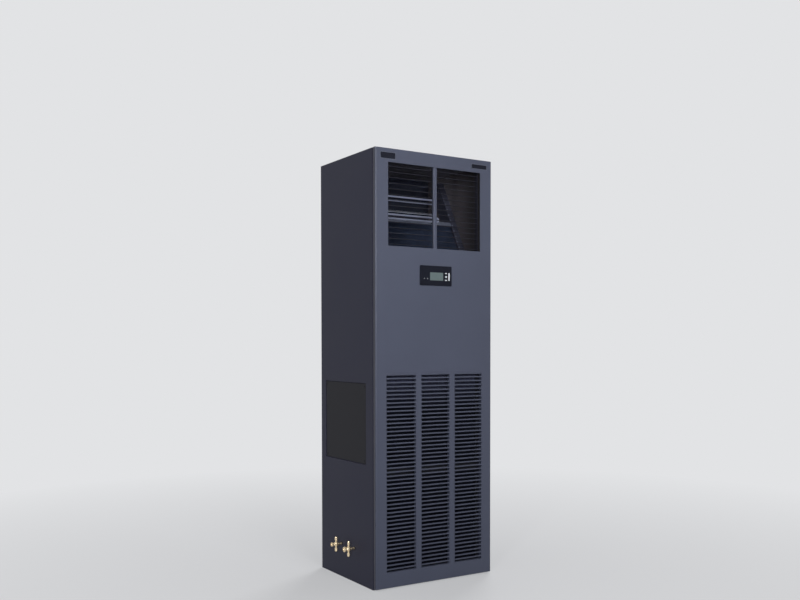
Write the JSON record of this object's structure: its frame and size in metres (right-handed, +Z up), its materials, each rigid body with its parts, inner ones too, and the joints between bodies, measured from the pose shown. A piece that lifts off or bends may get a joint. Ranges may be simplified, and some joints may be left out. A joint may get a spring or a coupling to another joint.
{
  "type": "computer room air conditioner",
  "caption": "Slim floor-standing air conditioner cabinet with a louvred intake, an outlet window, a display and a hinged front door.",
  "frame": {"origin": "centre of the cabinet's base on the floor", "axes": "+Z up, -Y towards the front door, +X to the right as seen from the front"},
  "size_m": [0.6525, 0.5043, 1.85],
  "materials": {
    "door_paint": "satin textured blue-grey powder coat",
    "cabinet_paint": "satin textured blue-grey powder coat",
    "cover_paint": "matte dark grey paint",
    "dark_sheet": "dark painted sheet",
    "zinc_sheet": "dull zinc-coated sheet",
    "coil_fins": "dark blue coated fins",
    "heater_steel": "bright drawn stainless tube",
    "brass": "bright turned brass",
    "foam": "brown-grey insulation foam",
    "gasket_rubber": "soft black rubber",
    "filter_media": "dark grey pleated filter media",
    "black_plastic": "satin black moulding",
    "screen_glass": "grey-green liquid crystal display behind a clear window",
    "key_plastic": "black membrane keypad with pale marks"
  },
  "bodies": {
    "cabinet": {"base_frame": "dark_sheet", "side_panel_left": "cabinet_paint", "side_panel_right": "cabinet_paint", "rear_panel": "cabinet_paint", "top_panel": "cabinet_paint", "front_post_left": "cabinet_paint", "front_post_right": "cabinet_paint", "top_rail": "cabinet_paint", "outlet_sill_rail": "cabinet_paint", "intake_head_rail": "cabinet_paint", "door_gasket": "gasket_rubber", "hinge_arm_lower": "zinc_sheet", "hinge_arm_upper": "zinc_sheet", "service_cover": "cover_paint", "front_service_valve": "brass", "rear_service_valve": "brass", "plenum_liner_left": "foam", "plenum_liner_right": "foam", "plenum_liner_rear": "foam", "coil_block": "coil_fins", "coil_header": "zinc_sheet", "coil_cheek_left": "zinc_sheet", "coil_cheek_right": "zinc_sheet", "drip_tray": "zinc_sheet", "heater_lower": "heater_steel", "heater_upper": "heater_steel", "heater_sensor_tube": "zinc_sheet", "heater_terminal_plate": "zinc_sheet", "electrics_box": "zinc_sheet", "air_filter_lower": "filter_media", "air_filter_upper": "filter_media", "filter_guide": "dark_sheet"},
    "front_door": {"door_panel": "door_paint", "door_mullion": "door_paint", "door_liner": "foam", "intake_grille_left": "door_paint", "intake_grille_middle": "door_paint", "intake_grille_right": "door_paint", "outlet_sleeve": "dark_sheet", "outlet_blades": "dark_sheet", "display_housing": "black_plastic", "display_screen": "screen_glass", "display_keypad": "key_plastic", "hinge_socket_lower": "zinc_sheet", "hinge_socket_upper": "zinc_sheet"}
  },
  "joints": [
    {"name": "door_hinge", "type": "hinge", "parent": "cabinet", "child": "front_door", "pos_m": [0.292, -0.239, 0.11], "axis": [0, 0, 1], "range_deg": [0, 100]}
  ]
}
